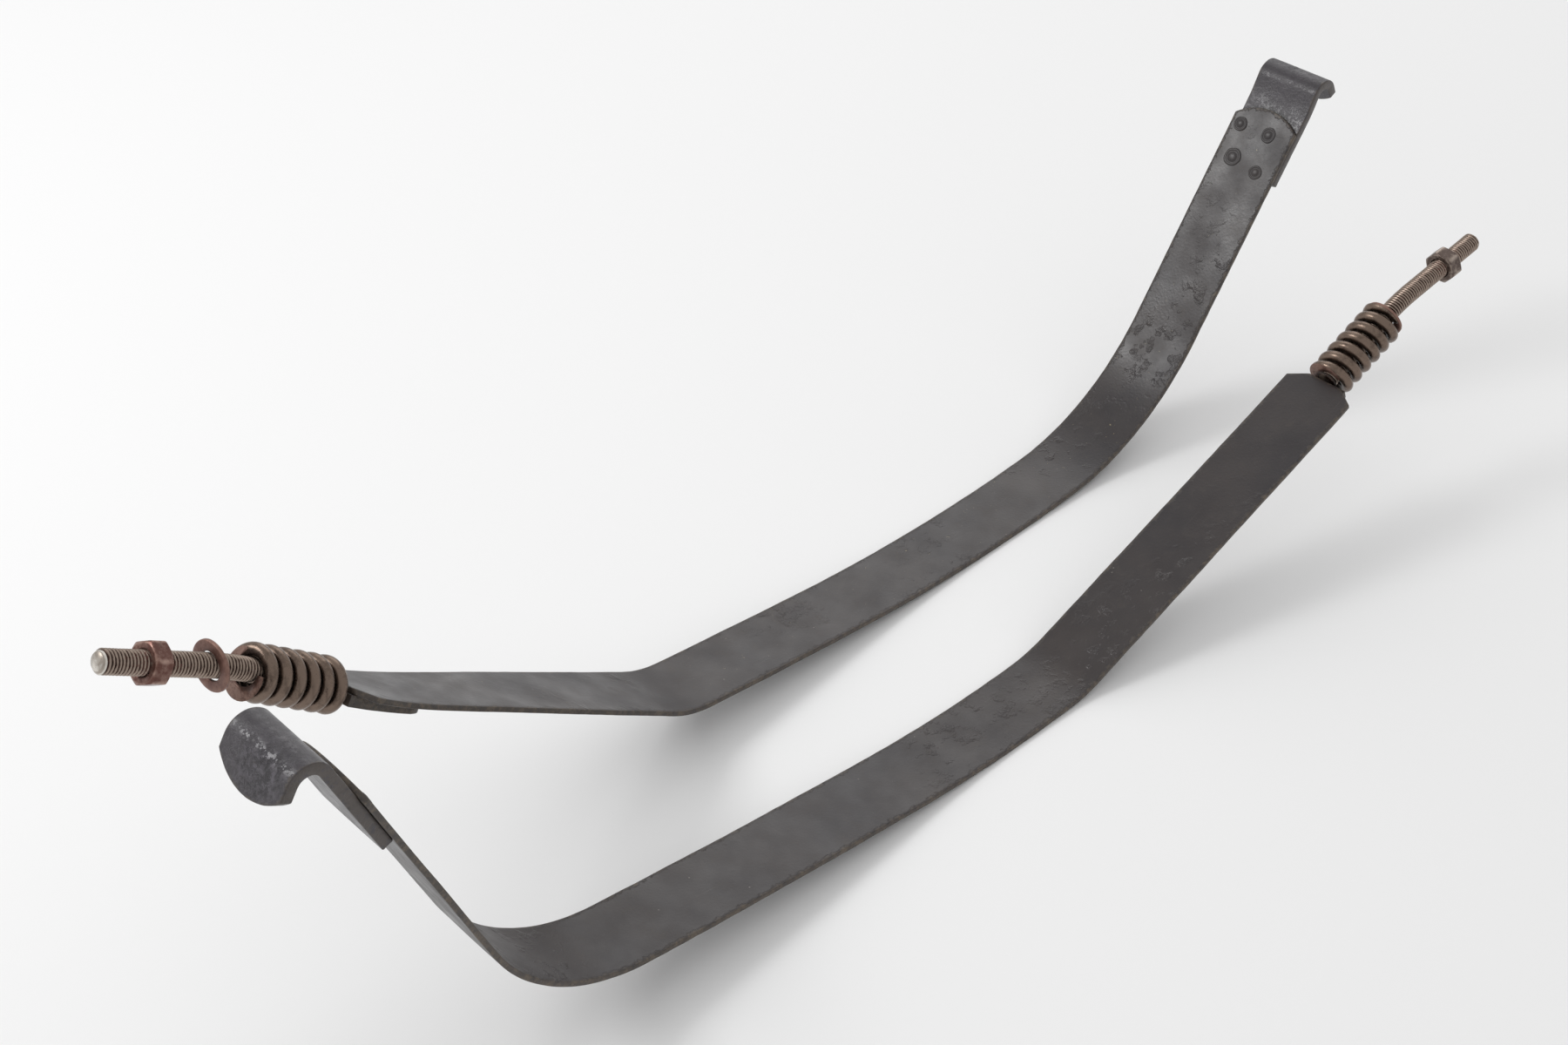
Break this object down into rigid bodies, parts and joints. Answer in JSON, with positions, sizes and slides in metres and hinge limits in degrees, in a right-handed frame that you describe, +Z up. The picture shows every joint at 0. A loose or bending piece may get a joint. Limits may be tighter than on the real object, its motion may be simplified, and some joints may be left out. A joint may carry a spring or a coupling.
{
  "type": "spring-loaded hold-down strap pair",
  "caption": "Pair of bent flat steel hold-down straps, each with a curled hook at one end and a threaded stud with compression spring, washer and hex nut at the other.",
  "frame": {"origin": "on the floor, under the middle of the pair's bounding box", "axes": "+Z up; +X to the right and +Y away as the pair is laid out, the front strap's stud towards +X +Y and the rear strap's towards -X -Y"},
  "size_m": [0.4968, 0.4956, 0.1838],
  "materials": {
    "band_paint": "semi-gloss black paint over rolled steel, rubbed brown at the edges",
    "hook_paint": "worn black paint over thick plate, pitted",
    "anchor_paint": "black paint over thick plate",
    "weld_metal": "rough weld bead, painted over and rusting",
    "stud_steel": "bare rolled thread, dull, rust in the roots",
    "spring_steel": "bare spring wire with a brown oxide skin",
    "washer_steel": "bare steel, light rust",
    "nut_steel": "bare steel, light rust"
  },
  "bodies": {
    "rear_strap": {"rear_band": "band_paint", "rear_hook_plate": "hook_paint", "rear_spot_welds": "band_paint", "rear_anchor_plate": "anchor_paint", "rear_root_weld": "weld_metal", "rear_stud": "stud_steel"},
    "front_strap": {"front_band": "band_paint", "front_hook_plate": "hook_paint", "front_spot_welds": "band_paint", "front_anchor_plate": "anchor_paint", "front_root_weld": "weld_metal", "front_stud": "stud_steel"},
    "rear_spring": {"rear_spring": "spring_steel"},
    "rear_washer": {"rear_washer": "washer_steel"},
    "rear_nut": {"rear_nut": "nut_steel"},
    "front_spring": {"front_spring": "spring_steel"},
    "front_washer": {"front_washer": "washer_steel"},
    "front_nut": {"front_nut": "nut_steel"}
  },
  "joints": [
    {"name": "front_strap_lift", "type": "slide", "parent": "rear_strap", "child": "front_strap", "axis": [0, 0, 1], "range_m": [0, 0.1]},
    {"name": "rear_spring_slide", "type": "slide", "parent": "rear_strap", "child": "rear_spring", "axis": [-0.543, -0.5355, 0.6468], "range_m": [0, 0.004]},
    {"name": "front_spring_slide", "type": "slide", "parent": "front_strap", "child": "front_spring", "axis": [0.6741, 0.6308, 0.3843], "range_m": [0, 0.0025]},
    {"name": "rear_washer_slide", "type": "slide", "parent": "rear_strap", "child": "rear_washer", "axis": [-0.5747, -0.5923, 0.5647], "range_m": [-0.004, 0.007]},
    {"name": "front_washer_slide", "type": "slide", "parent": "front_spring", "child": "front_washer", "axis": [0.6741, 0.6308, 0.3843], "range_m": [0, 0.004]},
    {"name": "rear_nut_run", "type": "slide", "parent": "rear_strap", "child": "rear_nut", "axis": [-0.5747, -0.5923, 0.5647], "range_m": [-0.007, 0.015]},
    {"name": "front_nut_run", "type": "slide", "parent": "front_strap", "child": "front_nut", "axis": [0.721, 0.6747, 0.1582], "range_m": [-0.018, 0.016]}
  ]
}
